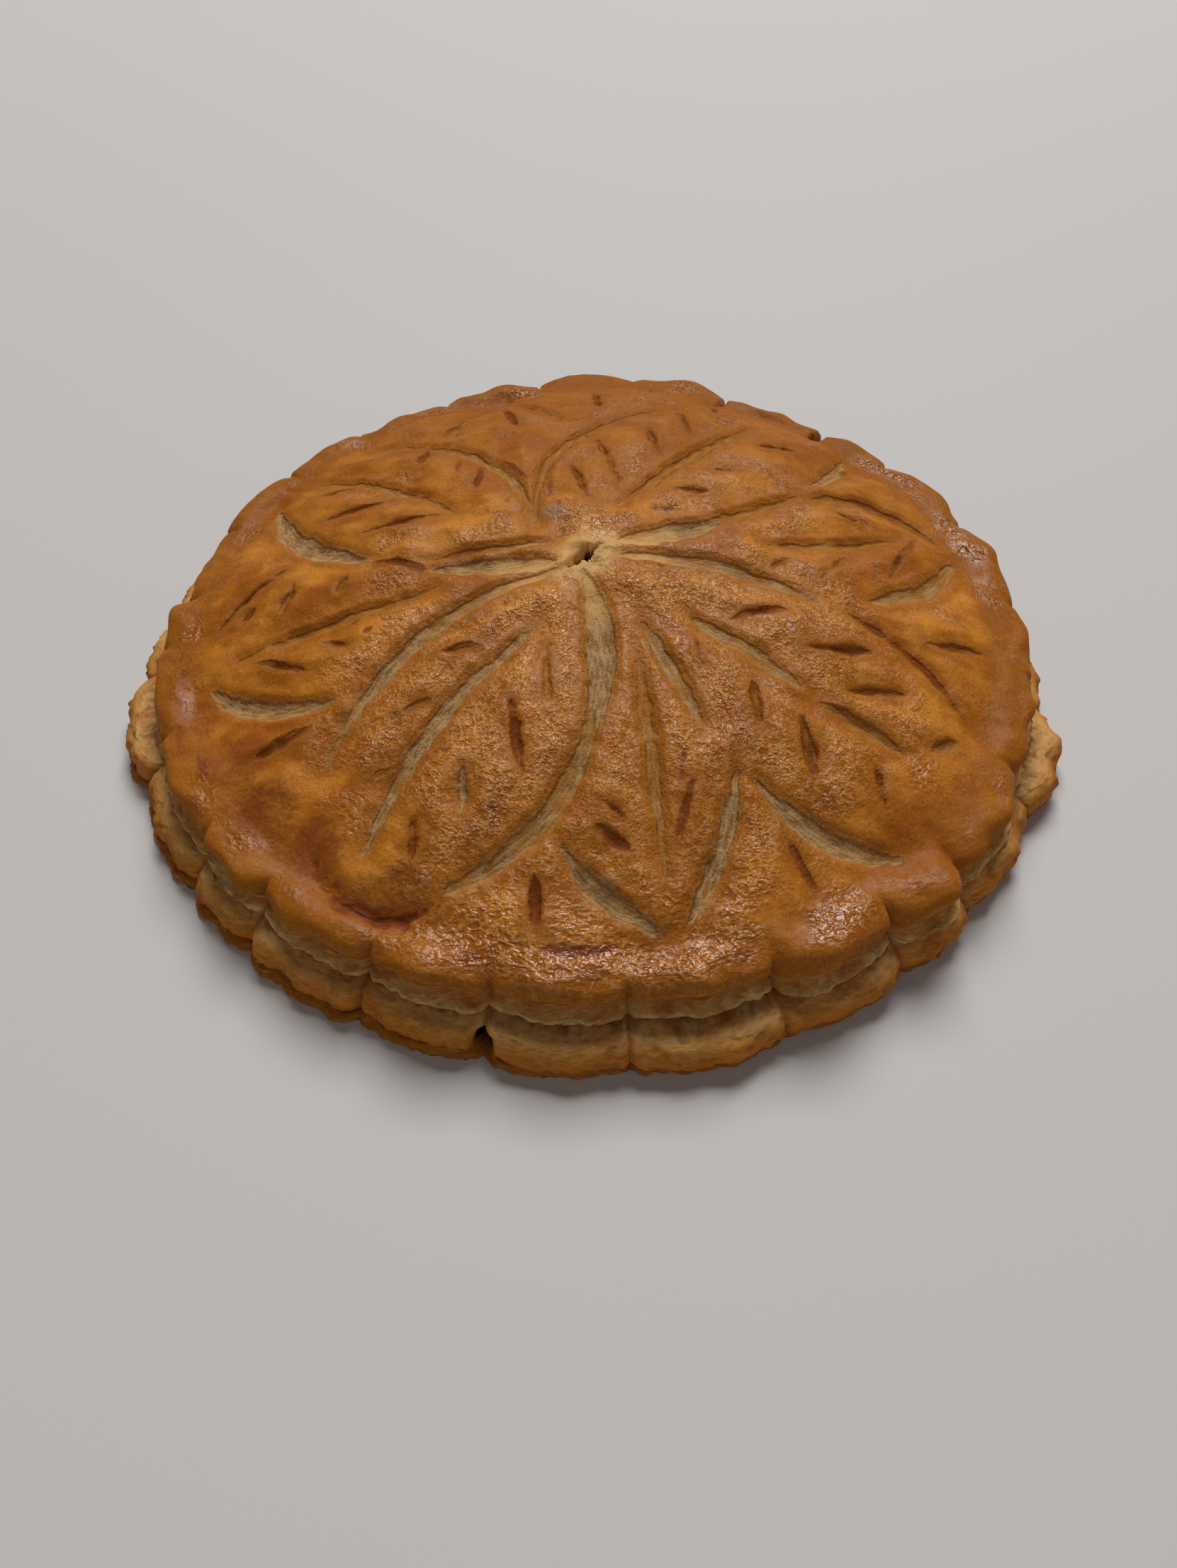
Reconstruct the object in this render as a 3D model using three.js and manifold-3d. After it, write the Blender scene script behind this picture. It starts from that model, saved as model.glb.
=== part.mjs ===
// Galette des rois: a round puff-pastry cake, whole and uncut.
//
// Two sheets of puff pastry lie on each other, sealed round a filling that lifts the top sheet
// into a low crown. The joined edge is pressed in with the back of a knife, so that it runs
// round in lobes, and the glazed crown is scored with a rosette of ten leaves whose cuts have
// opened into furrows in the oven. The cake is one solid.
//
// Millimetres, +Z up. The cake lies on z = 0, with the middle of its outline on the Z axis and
// the front of the rosette towards -Y.
import * as THREE from "three";
import { mergeVertices } from "three/addons/utils/BufferGeometryUtils.js";
import Module from "manifold-3d";

// The crown over the filling
const CROWN_RADIUS = 106.5;
const CROWN_FOOT = 20.2;
const CROWN_RISE = 23.6;
const CROWN_POWER = 2.2;
const CROWN_BOTTOM = 1;
const CROWN_RINGS = 8;
const CROWN_SIDES = 48;

// The sealed rim round it. Each lobe: where it starts, in degrees, how far its top sheet and its
// base sheet reach from the axis, and how deep the notch at its start is in the one and the other
const LOBES = [
  [3, 116, 121.5, 1.5, 2.5], [20, 115, 122, 1.5, 2.5], [37, 113.5, 122, 1.5, 2.5],
  [49, 110.5, 121, 1.5, 2.5], [67, 117, 124.5, 1.5, 2.5], [83, 117.5, 124.5, 1.2, 2.5],
  [99, 113, 122, 1.2, 2.5], [115, 112.5, 122, 1.2, 2.5], [131, 113.5, 122, 1.5, 2.5],
  [145, 114.5, 122, 1.5, 2.5], [160, 112.5, 122.5, 1.5, 2.5], [175, 115, 124.5, 2.5, 2.5],
  [184.5, 115.6, 127.6, 0.7, 3], [200.5, 116.2, 124.5, 0.7, 4.5], [217.5, 116.2, 124, 0.8, 3],
  [228.5, 116, 124.2, 1.8, 3], [243.8, 115.5, 123.5, 3, 3], [258, 114.5, 125, 4, 3.5],
  [273.3, 114.3, 126, 2.8, 3], [289.8, 117.3, 124.5, 3.5, 3], [305, 118.5, 124, 5, 3],
  [316, 117.4, 123.5, 4.5, 3], [333, 115.2, 126.8, 2.6, 4], [349, 115.5, 122, 1.2, 3],
];
const STEPS_PER_LOBE = 6;
const NOTCH_DIP = 0.5;
const NOTCH_ROUNDNESS = 0.42;
const LOBE_PUFF = 0.8;
const LOBE_HEIGHT_CHANGE = 0.7;
const LOBE_HEIGHT_TURN = 2.4;

// The rim's section. On top: share of the way from RIM_START to the sheet's reach, height, and the
// share of the lobes' puff and dip that gets there. At the edges: inset, height, and that share.
const RIM_START = 99;
const RIM_TOP = [
  [0.23, 21.9, 0],
  [0.42, 20.9, 0],
  [0.62, 20.7, 0.4],
];
const TOP_SHEET_EDGE = [
  [3.6, 20.2, 0.8],
  [1.1, 19.2, 1],
  [0, 17, 1],
  [1.4, 13.4, 0],
  [-0.8, 10.8, 0],
  [0.8, 9.3, 0],
];
const BASE_SHEET_EDGE = [
  [5.8, 8.9, 0],
  [2.5, 7.6, 0],
  [1.5, 4.2, 0],
  [3.4, 2.3, 0],
];

// The thin flake under the base sheet: it comes out at the front left and is tucked in elsewhere
const FLAKE_EDGE = [
  [0, 0.9, 0],
  [0.6, 0, 0],
];
const FLAKE = { bearing: 225, spread: 40, tuck: 2.2 };

// A corner of the top sheet that stands up at the front right: bearing, spread, reach and lift
const TORN_CORNER = { bearing: 313, spread: 2.6, reach: 2, lift: 1.6 };

// The scoring, leaf by leaf from the front left anticlockwise. Each cut: where it starts and
// ends on plan, how far its middle bows to the left of its run, and how wide it has opened.
const LEAVES = {
  frontLeft: [
    [-14, -24, -52, -80, -4, 4], [-8, -5, -63, -57, -9, 4], [-3, -6, -1, -56, 3.5, 7],
    [0, -42, -36, -91, 10.5, 5], [-65, -77, -33, -91, -10, 2], [-26, -30, -40, -32, 0, 4],
    [-37, -44, -47, -48, 0, 3], [-44, -60, -53, -63, 0, 2.5], [-12, -31, -11, -48, 0, 2],
    [-20, -46, -17, -64, 0, 3], [-30, -64, -30, -74, 0, 2.5], [-41, -73, -41, -83, 0, 2.5],
  ],
  front: [
    [10, -30, 15, -89, 0, 3], [11, -22, 25, -53, 0, 3.5], [32, -62, 20, -97, 2, 3.5],
    [-8, -81, 15, -100, -3, 4], [0, -71, 6, -76, 0, 2], [0, -78, 8, -84, 0, 3.5], [22, -66, 18, -80, 0, 2],
  ],
  frontRight: [
    [23, -20, 50, -41, 0, 4.5], [52, -43, 73, -54, 0, 5], [36, -65, 70, -79, -5, 5],
    [62, -13, 91, -40, 4, 2], [24, -28, 25, -36, 0, 2], [37, -40, 38, -53, 0, 3.5],
    [48, -48, 50, -64, 0, 4], [65, -59, 67, -71, 0, 2], [33, -21, 48, -17, 0, 3.5],
    [51, -29, 69, -26, 0, 3.5], [60, -39, 75, -37, 0, 3], [80, -52, 87, -47, 0, 4.5],
  ],
  right: [
    [5, -1, 56, -12, 4, 4.5], [70, -8, 100, 21, -4, 5], [45, 9, 84, 24, -3, 2.5],
    [60, 33, 97, 27, 7.5, 4], [45, -1, 50, 3, 0, 2.5], [58, -4, 67, 9, 0, 2],
    [78, 4, 89, 25, 0, 2.5], [66, 28, 73, 25, 0, 2],
  ],
  backRight: [
    [5, 4, 34, 15, 0, 7], [26, 13, 56, 33, -1, 2.5], [60, 40, 75, 66, -2, 3.5], [21, 28, 32, 27, 0, 3],
    [33, 40, 42, 41, 0, 2], [47, 60, 60, 61, 0, 3], [73, 64, 74, 55, 0, 2.5],
  ],
  back: [
    [6, 22, 48, 78, -1, 3.5], [-15, 11, 25, 86, 14, 3], [1, 56, 7, 33, 0, 2], [16, 63, 18, 50, 0, 2],
    [25, 83, 29, 62, 0, 2.5], [37, 91, 38, 83, 0, 2],
  ],
  backLeft: [
    [-15, 11, -65, 69, -12, 3], [-41, 68, -29, 96, 4, 2], [-29, 96, -9, 75, 2.5, 2], [-7, 43, -1, 22, 0, 2],
    [-27, 86, -22, 67, 0, 3], [-44, 70, -39, 83, 0, 3], [-25, 46, -18, 34, 0, 2.5], [-48, 60, -49, 48, 0, 2],
    [-31, 44, -32, 30, 0, 2],
  ],
  leftBack: [
    [-36, 20, -82, 55, -2.5, 2.5], [-58, 5, -91, 45, 6.5, 6], [-8, -3, -42, -2, 0, 6],
    [-12, 5, -42, 2, -0.5, 2], [-57, 4, -42, -2, 0, 3], [-75, 27, -55, 32, 0, 3.5],
    [-62, 16, -40, 20, 0, 3], [-77, 43, -67, 43, 0, 2.5],
  ],
  left: [
    [-40, -9, -90, -20, 0, 2], [-82, 9, -100, -11, -1.5, 3], [-97, -27, -62, -40, -5, 5],
    [-64, 1, -66, -8, 0, 2], [-78, 1, -81, -11, 0, 3], [-88, -3, -93, -12, 0, 3],
    [-69, -21, -60, -25, 0, 3], [-86, -23, -71, -30, 0, 4],
  ],
  betweenTips: [
    [-81, -53, -67, -47, 0, 4.5], [-14, -88, -13, -100, 0, 3], [43, -78, 48, -89, 0, 3],
    [84, -19, 101, -17, 0, 4], [1, 100, 2, 84, 0, 3],
  ],
};
const CUT_DEPTH_SHARE = 0.5;
const CUT_DEPTH_LIMIT = 2.4;
const CUT_SIDES = 4;
const CUT_STEP = 8;
const CUT_STEPS_AT_LEAST = 4;
const CUT_CLEARANCE = 0.3;
const CUT_HEADROOM = 2;

// The vent torn in the middle of the crown, the same way as a cut, and its depth
const VENT = [-6, -5, 3, 3.5, 0.6, 3];
const VENT_DEPTH = 7;

// Cracks through the top sheet at the back right: bearing, inner and outer end, width, depth
const CRACKS = [
  [49, 103, 118, 3.4, 9],
  [67, 105, 120, 2.4, 7],
];

// The hollow torn into the base sheet at the front: bearing, distance from the axis, height and
// half its length along the edge, its reach inwards and its height
const TEAR = { bearing: 258, radius: 122, height: 4.6, size: [2.6, 5.5, 3.1], sides: 8, rings: 6 };

const MERGE_DISTANCE = 1e-4;

const wasm = await Module();
wasm.setup();

function solidOf(geometry) {
  geometry.deleteAttribute("normal");
  geometry.deleteAttribute("uv");
  const merged = mergeVertices(geometry, MERGE_DISTANCE);
  return new wasm.Manifold(new wasm.Mesh({
    numProp: 3,
    vertProperties: new Float32Array(merged.attributes.position.array),
    triVerts: new Uint32Array(merged.index.array),
  }));
}

function geometryOf(solid) {
  const mesh = solid.getMesh();
  const geometry = new THREE.BufferGeometry();
  geometry.setAttribute("position", new THREE.BufferAttribute(new Float32Array(mesh.vertProperties), 3));
  geometry.setIndex(new THREE.BufferAttribute(new Uint32Array(mesh.triVerts), 1));
  geometry.computeVertexNormals();
  return geometry;
}

function moveVertices(geometry, place) {
  const position = geometry.attributes.position;
  const point = new THREE.Vector3();
  for (let i = 0; i < position.count; i++) {
    place(point.fromBufferAttribute(position, i));
    position.setXYZ(i, point.x, point.y, point.z);
  }
  return geometry;
}

function crownHeight(radius) {
  const height = CROWN_FOOT + CROWN_RISE * (1 - (radius / CROWN_RADIUS) ** CROWN_POWER);
  return Math.max(height, CROWN_FOOT);
}

// The crown: a turned dome that goes down into the sheets.
function crownSolid() {
  const profile = [new THREE.Vector2(0, CROWN_BOTTOM), new THREE.Vector2(CROWN_RADIUS, CROWN_BOTTOM)];
  for (let i = CROWN_RINGS; i >= 0; i--) {
    const radius = (CROWN_RADIUS * i) / CROWN_RINGS;
    profile.push(new THREE.Vector2(radius, crownHeight(radius)));
  }
  return solidOf(new THREE.LatheGeometry(profile, CROWN_SIDES).rotateX(Math.PI / 2));
}

// Where a sheet's edge lies at a place along a lobe: out at its reach in the middle, and pressed
// in between it and the next lobe.
function sheetReach(lobe, along, sheet) {
  const count = LOBES.length;
  const here = LOBES[lobe];
  const before = LOBES[(lobe + count - 1) % count];
  const after = LOBES[(lobe + 1) % count];
  const start = (before[sheet] + here[sheet]) / 2 - here[sheet + 2];
  const end = (here[sheet] + after[sheet]) / 2 - after[sheet + 2];
  const swell = Math.sin(Math.PI * along) ** NOTCH_ROUNDNESS;
  return here[sheet] * swell + (start + (end - start) * along) * (1 - swell);
}

// The bearing of a place along a lobe, in degrees, from the first lobe's start on.
function bearingAt(lobe, along) {
  const [first] = LOBES[lobe];
  const next = lobe + 1 < LOBES.length ? LOBES[lobe + 1][0] : LOBES[0][0] + 360;
  return first + (next - first) * along;
}

// The two sheets: a turned disc whose rings are then drawn out to the lobes. The rings are told
// apart by the radius that the profile gives them.
function sheetsSolid() {
  const rings = [
    ...RIM_TOP.map(([way, height, share]) => ({ sheet: 1, way, height, share })),
    ...TOP_SHEET_EDGE.map(([inset, height, share]) => ({ sheet: 1, inset, height, share })),
    ...BASE_SHEET_EDGE.map(([inset, height, share]) => ({ sheet: 2, inset, height, share })),
    ...FLAKE_EDGE.map(([inset, height, share]) => ({ sheet: 2, inset, height, share, tuck: FLAKE.tuck })),
  ];
  const profile = rings.map((ring, i) => new THREE.Vector2(i + 1, ring.height));
  profile.unshift(new THREE.Vector2(0, rings[0].height));
  profile.push(new THREE.Vector2(0, rings.at(-1).height));
  profile.reverse();

  const sides = LOBES.length * STEPS_PER_LOBE;
  const turned = new THREE.LatheGeometry(profile, sides).rotateX(Math.PI / 2);
  return solidOf(moveVertices(turned, (point) => {
    const number = Math.round(Math.hypot(point.x, point.y));
    if (number === 0) {
      return;
    }
    const { sheet, way, inset, height, share, tuck = 0 } = rings[number - 1];
    const turn = Math.atan2(point.y, point.x) / (2 * Math.PI) + 1;
    const step = Math.round(turn * sides) % sides;
    const lobe = Math.floor(step / STEPS_PER_LOBE);
    const along = (step % STEPS_PER_LOBE) / STEPS_PER_LOBE;
    const bearing = bearingAt(lobe, along);

    const corner = Math.exp(-(((bearing - TORN_CORNER.bearing) / TORN_CORNER.spread) ** 2));
    const hidden = 1 - Math.exp(-(((bearing - FLAKE.bearing) / FLAKE.spread) ** 4));
    const pressed = LOBES[lobe][1] - sheetReach(lobe, along, 1);
    const puff = LOBE_PUFF + LOBE_HEIGHT_CHANGE * Math.sin(LOBE_HEIGHT_TURN * lobe);
    const lift = puff * Math.sin(Math.PI * along) - NOTCH_DIP * pressed + TORN_CORNER.lift * corner;
    const drawn = sheet === 1 ? TORN_CORNER.reach * corner : 0;
    const reach = sheetReach(lobe, along, sheet) + drawn - tuck * hidden;

    const radius = way === undefined ? reach - inset : RIM_START + (reach - RIM_START) * way;
    const angle = THREE.MathUtils.degToRad(bearing);
    point.set(radius * Math.cos(angle), radius * Math.sin(angle), height + share * lift);
  }));
}

// One knife cut: a ball drawn out along the cut's curve on the crown, with a pointed keel.
function cutSolid([x0, y0, x1, y1, bow, width], depth) {
  const start = new THREE.Vector2(x0, y0);
  const end = new THREE.Vector2(x1, y1);
  const run = end.clone().sub(start);
  const length = run.length();
  const left = new THREE.Vector2(-run.y, run.x).divideScalar(length);
  const middle = start.clone().add(end).divideScalar(2).addScaledVector(left, 2 * bow);
  const curve = new THREE.QuadraticBezierCurve(start, middle, end);
  const steps = Math.max(CUT_STEPS_AT_LEAST, Math.round(length / CUT_STEP));
  return solidOf(moveVertices(new THREE.SphereGeometry(1, CUT_SIDES, steps), (point) => {
    const along = (1 - point.y) / 2;
    const place = curve.getPoint(along);
    const heading = curve.getTangent(along);
    const off = (point.x * width) / 2;
    const x = place.x - heading.y * off;
    const y = place.y + heading.x * off;
    const level = crownHeight(Math.hypot(x, y)) + CUT_CLEARANCE;
    const z = level + point.z * (point.z > 0 ? CUT_HEADROOM : depth);
    point.set(x, y, z);
  }));
}

function crackSolid([bearing, inner, outer, width, depth]) {
  const angle = THREE.MathUtils.degToRad(bearing);
  const ends = [inner, outer].map((radius) => [radius * Math.cos(angle), radius * Math.sin(angle)]);
  return cutSolid([...ends.flat(), 0, width], depth);
}

function tearSolid() {
  const [along, inwards, upwards] = TEAR.size;
  const ball = new THREE.SphereGeometry(1, TEAR.sides, TEAR.rings).scale(inwards, along, upwards);
  return solidOf(ball.translate(TEAR.radius, 0, TEAR.height).rotateZ(THREE.MathUtils.degToRad(TEAR.bearing)));
}

function galetteGeometry() {
  let cake = sheetsSolid().add(crownSolid());
  for (const cut of Object.values(LEAVES).flat()) {
    const width = cut.at(-1);
    cake = cake.subtract(cutSolid(cut, Math.min(CUT_DEPTH_LIMIT, width * CUT_DEPTH_SHARE)));
  }
  cake = cake.subtract(cutSolid(VENT, VENT_DEPTH));
  for (const crack of CRACKS) {
    cake = cake.subtract(crackSolid(crack));
  }
  cake = cake.subtract(tearSolid());

  const geometry = geometryOf(cake);
  geometry.computeBoundingBox();
  const middle = geometry.boundingBox.getCenter(new THREE.Vector3());
  return geometry.translate(-middle.x, -middle.y, 0);
}

const glazedPastry = new THREE.MeshStandardMaterial({ color: 0xb0702f, roughness: 0.4, metalness: 0 });

const galette = new THREE.Mesh(galetteGeometry(), glazedPastry);
galette.name = "galette";

const group = new THREE.Group();
group.add(galette);

export default group;
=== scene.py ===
import math

import bmesh
import bpy
import numpy as np
from mathutils import Matrix, Vector


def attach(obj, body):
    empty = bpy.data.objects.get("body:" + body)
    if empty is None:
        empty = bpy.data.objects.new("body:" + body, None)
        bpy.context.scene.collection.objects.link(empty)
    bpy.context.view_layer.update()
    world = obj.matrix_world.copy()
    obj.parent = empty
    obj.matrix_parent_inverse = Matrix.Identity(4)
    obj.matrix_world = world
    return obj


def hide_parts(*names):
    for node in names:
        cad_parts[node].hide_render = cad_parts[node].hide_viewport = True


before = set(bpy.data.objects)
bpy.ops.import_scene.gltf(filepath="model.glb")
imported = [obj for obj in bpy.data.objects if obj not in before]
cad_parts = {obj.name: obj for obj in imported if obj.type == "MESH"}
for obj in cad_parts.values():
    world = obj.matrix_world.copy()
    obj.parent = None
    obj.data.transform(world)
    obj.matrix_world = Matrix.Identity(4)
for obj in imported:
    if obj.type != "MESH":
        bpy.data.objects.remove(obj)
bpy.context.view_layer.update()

# The camera
# It stands a little in front of the cake and above it, and looks down at about fifty degrees. Its
# place and lens come from fitting the cake's two rims to their outlines in the photograph, whose
# long side and focal length are given in pixels.
MM = 0.001
CAMERA_PLACE = Vector((0.2, -237.6, 243.0)) * MM
CAMERA_PITCH = math.radians(51.0)
CAMERA_ROLL = math.radians(-0.3)
CAMERA_NEAR_LIMIT = 0.01
PHOTO_SIDE = 2212
PHOTO_FOCAL_LENGTH = 1700
SENSOR = 36.0

scene = bpy.context.scene
camera_data = bpy.data.cameras.new("camera")
camera_data.sensor_width = SENSOR
camera_data.lens = SENSOR * PHOTO_FOCAL_LENGTH / PHOTO_SIDE
camera_data.clip_start = CAMERA_NEAR_LIMIT
camera = bpy.data.objects.new("camera", camera_data)
camera.matrix_world = (
    Matrix.Translation(CAMERA_PLACE)
    @ Matrix.Rotation(math.pi / 2 - CAMERA_PITCH, 4, "X")
    @ Matrix.Rotation(CAMERA_ROLL, 4, "Z")
)
scene.collection.objects.link(camera)
scene.camera = camera

# The cake
# Two sheets of puff pastry sealed round a filling, brushed with egg and baked whole. The edge is
# pressed in with the back of a knife, and the crown is scored with a rosette of leaves, whose
# cuts have opened in the oven and show the paler pastry under the glaze. Sizes in millimetres.
CROWN_RADIUS = 106.5
CROWN_FOOT = 20.2
CROWN_RISE = 23.6
CROWN_POWER = 2.2

# The mesh: a square net drawn out to a disc for the crown, then rings for the rim and its edges
NET_CELLS = 224
NET_RADIUS = 99.0
RIM_RINGS = 52


def crown_height(radius):
    """Height of the smooth crown at each distance from its middle."""
    share = np.minimum(radius, CROWN_RADIUS) / CROWN_RADIUS
    return CROWN_FOOT + CROWN_RISE * (1 - share ** CROWN_POWER)


# The net, the rim's rings and the flat underside
shape = bmesh.new()
bmesh.ops.create_grid(shape, x_segments=NET_CELLS, y_segments=NET_CELLS, size=1)
ring_of = shape.verts.layers.int.new("ring")
open_edge = [edge for edge in shape.edges if edge.is_boundary]
for number in range(1, RIM_RINGS + 1):
    drawn_out = bmesh.ops.extrude_edge_only(shape, edges=open_edge)["geom"]
    for part in drawn_out:
        if isinstance(part, bmesh.types.BMVert):
            part[ring_of] = number
    edges = [part for part in drawn_out if isinstance(part, bmesh.types.BMEdge)]
    open_edge = [edge for edge in edges if edge.is_boundary]
bmesh.ops.edgeloop_fill(shape, edges=open_edge)
bmesh.ops.recalc_face_normals(shape, faces=shape.faces)
cake_mesh = bpy.data.meshes.new("cake")
shape.to_mesh(cake_mesh)
shape.free()

# Each vertex's place in the flat net, and its ring, which is 0 in the net itself
count = len(cake_mesh.vertices)
net = np.empty(count * 3)
cake_mesh.vertices.foreach_get("co", net)
flat_x, flat_y = net[0::3], net[1::3]
ring = np.empty(count, np.int32)
cake_mesh.attributes["ring"].data.foreach_get("value", ring)
cake_mesh.attributes.remove(cake_mesh.attributes["ring"])

# From the square net to the disc: the square's rings become circles
sideways = np.abs(flat_x) >= np.abs(flat_y)
with np.errstate(divide="ignore", invalid="ignore"):
    turn = np.where(
        sideways,
        np.pi / 4 * flat_y / flat_x + np.where(flat_x < 0, np.pi, 0),
        np.pi / 2 - np.pi / 4 * flat_x / flat_y + np.where(flat_y < 0, np.pi, 0),
    )
bearing = np.nan_to_num(turn)
radius = NET_RADIUS * np.maximum(np.abs(flat_x), np.abs(flat_y))
height = crown_height(radius)

# Each lobe of the rim: where it starts, in degrees, how far its top and its base sheet reach, and
# how deep the knife has pressed the notch at its start into the top and into the base sheet
LOBES = np.array([
    [3, 116, 121.5, 1.5, 2.5], [20, 115, 122, 1.5, 2.5], [37, 113.5, 122, 1.5, 2.5],
    [49, 110.5, 121, 1.5, 2.5], [67, 117, 124.5, 1.5, 2.5], [83, 117.5, 124.5, 1.2, 2.5],
    [99, 113, 122, 1.2, 2.5], [115, 112.5, 122, 1.2, 2.5], [131, 113.5, 122, 1.5, 2.5],
    [145, 114.5, 122, 1.5, 2.5], [160, 112.5, 122.5, 1.5, 2.5], [175, 115, 124.5, 2.5, 2.5],
    [184.5, 115.6, 127.6, 0.7, 3], [200.5, 116.2, 124.5, 0.7, 4.5], [217.5, 116.2, 124, 0.8, 3],
    [228.5, 116, 124.2, 1.8, 3], [243.8, 115.5, 123.5, 3, 3], [258, 114.5, 125, 4, 3.5],
    [273.3, 114.3, 126, 2.8, 3], [289.8, 117.3, 124.5, 3.5, 3], [305, 118.5, 124, 5, 3],
    [316, 117.4, 123.5, 4.5, 3], [333, 115.2, 126.8, 2.6, 4], [349, 115.5, 122, 1.2, 3],
])
LOBE_STARTS = np.append(LOBES[:, 0], LOBES[0, 0] + 360)
TOP_SHEET = 1
BASE_SHEET = 2
NOTCH_DIP = 0.5
NOTCH_ROUNDNESS = 0.42
NOTCH_SLIT_WIDTH = 0.9
NOTCH_SLIT_DEPTH = 0.8
LOBE_PUFF = 0.8
LOBE_HEIGHT_CHANGE = 0.7
LOBE_HEIGHT_TURN = 2.4
EDGE_RADIUS = 115.0

# The rim's section. On top: share of the way from the crown's net to the sheet's reach, height,
# and the share of a lobe's lift that gets there. At the top sheet's edge: inset, height and that
# share. At the base sheet's edge: inset and height.
RIM_TOP = [(0.23, 21.9, 0), (0.42, 20.9, 0), (0.62, 20.7, 0.4)]
TOP_SHEET_EDGE = [
    (3.6, 20.2, 0.8), (1.1, 19.2, 1), (0, 17, 1), (0.6, 15.3, 0.5), (1.4, 13.4, 0),
    (1.2, 11.8, 0), (-0.8, 10.8, 0), (-1, 10, 0), (0.8, 9.3, 0),
]
BASE_SHEET_EDGE = [
    (5.8, 8.9), (4.0, 8.7), (2.5, 7.6), (1.7, 5.8), (1.5, 4.2), (2.0, 2.9),
    (3.4, 2.3), (1.0, 1.8), (0, 0.9), (0.6, 0),
]
EDGE_CORNER = len(RIM_TOP) + 3
LIP_CORNER = len(RIM_TOP) + 8
LAST_CORNER = len(RIM_TOP) + len(TOP_SHEET_EDGE) + len(BASE_SHEET_EDGE)
LOWEST_RING = 0.15

# How the sheets waver round the rim: by how much, and in how many waves a turn at most. A part of
# the sway goes into the height.
TOP_SWAY, TOP_WAVES = 0.5, 60
BASE_SWAY, BASE_WAVES = 0.6, 70
BORDER_SWAY, BORDER_WAVES = 0.5, 26
EDGE_SWAY, EDGE_WAVES = 0.35, 60
FLAKE_SWAY, FLAKE_WAVES = 0.34, 220
BORDER_DIP = 0.3
TOP_EDGE_LIFT = 0.5
BASE_EDGE_LIFT = 0.3
SEED = 12

# The corner of a lobe that has torn up at the front right
TORN_CORNER_BEARING = 313.0
TORN_CORNER_WIDTH = 2.6
TORN_CORNER_REACH = 2.0
TORN_CORNER_LIFT = 1.6

# The thin flake under the base sheet: it comes out at the front left and is tucked in elsewhere
SKIRT_BEARING = 225.0
SKIRT_SPREAD = 40.0
SKIRT_TUCK = 2.2
SKIRT_TOP = 2.0


def ripple(bearing, waves_in_a_turn, seed, count=14):
    """Uneven ripple round the rim, closed on itself, with up to so many waves in a turn."""
    draw = np.random.default_rng(seed)
    numbers = draw.integers(max(2, waves_in_a_turn // 3), waves_in_a_turn + 1, count)
    phases = draw.uniform(0, 2 * np.pi, count)
    total = np.zeros_like(bearing)
    for number, phase in zip(numbers, phases):
        total += np.sin(number * bearing + phase)
    return total / math.sqrt(count)


def soft_step(value, low, high):
    """0 up to low and 1 from high on, with a smooth way between."""
    share = np.clip((value - low) / (high - low), 0, 1)
    return share * share * (3 - 2 * share)


def lobe_at(bearing):
    """The number of the lobe at each bearing, and how far along it the bearing lies."""
    degrees = (np.degrees(bearing) - LOBE_STARTS[0]) % 360 + LOBE_STARTS[0]
    lobe = np.clip(np.searchsorted(LOBE_STARTS, degrees, side="right") - 1, 0, len(LOBES) - 1)
    along = (degrees - LOBE_STARTS[lobe]) / (LOBE_STARTS[lobe + 1] - LOBE_STARTS[lobe])
    return lobe, along


def sheet_reach(bearing, sheet):
    """How far a sheet reaches at each bearing: out in a lobe's middle, pressed in between lobes."""
    lobe, along = lobe_at(bearing)
    here = LOBES[lobe, sheet]
    after = LOBES[(lobe + 1) % len(LOBES)]
    start = (LOBES[lobe - 1, sheet] + here) / 2 - LOBES[lobe, sheet + 2]
    end = (here + after[:, sheet]) / 2 - after[:, sheet + 2]
    swell = np.sin(np.pi * along) ** NOTCH_ROUNDNESS
    return here * swell + (start + (end - start) * along) * (1 - swell)


# The section's corners, worked out at every bearing
lobe, along = lobe_at(bearing)
lobe_turn = np.radians(LOBE_STARTS[lobe + 1] - LOBE_STARTS[lobe])
notch_distance = np.minimum(along, 1 - along) * lobe_turn * EDGE_RADIUS
on_rim = ring > 0
rim_bearing = bearing[on_rim]
rim_degrees = np.degrees(rim_bearing) % 360
lobe, along = lobe[on_rim], along[on_rim]
top_reach = sheet_reach(rim_bearing, TOP_SHEET)
base_reach = sheet_reach(rim_bearing, BASE_SHEET)
puff = (LOBE_PUFF + LOBE_HEIGHT_CHANGE * np.sin(LOBE_HEIGHT_TURN * lobe)) * np.sin(np.pi * along)
lift = puff - NOTCH_DIP * (LOBES[lobe, TOP_SHEET] - top_reach)
torn_corner = np.exp(-((rim_degrees - TORN_CORNER_BEARING) / TORN_CORNER_WIDTH) ** 2)
lift += TORN_CORNER_LIFT * torn_corner
top_reach += TOP_SWAY * ripple(rim_bearing, TOP_WAVES, SEED) + TORN_CORNER_REACH * torn_corner
base_reach += BASE_SWAY * ripple(rim_bearing, BASE_WAVES, SEED + 1)
tucked_in = 1 - np.exp(-((rim_degrees - SKIRT_BEARING) / SKIRT_SPREAD) ** 4)
corners = [(np.full_like(rim_bearing, NET_RADIUS), np.full_like(rim_bearing, crown_height(NET_RADIUS)))]
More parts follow.
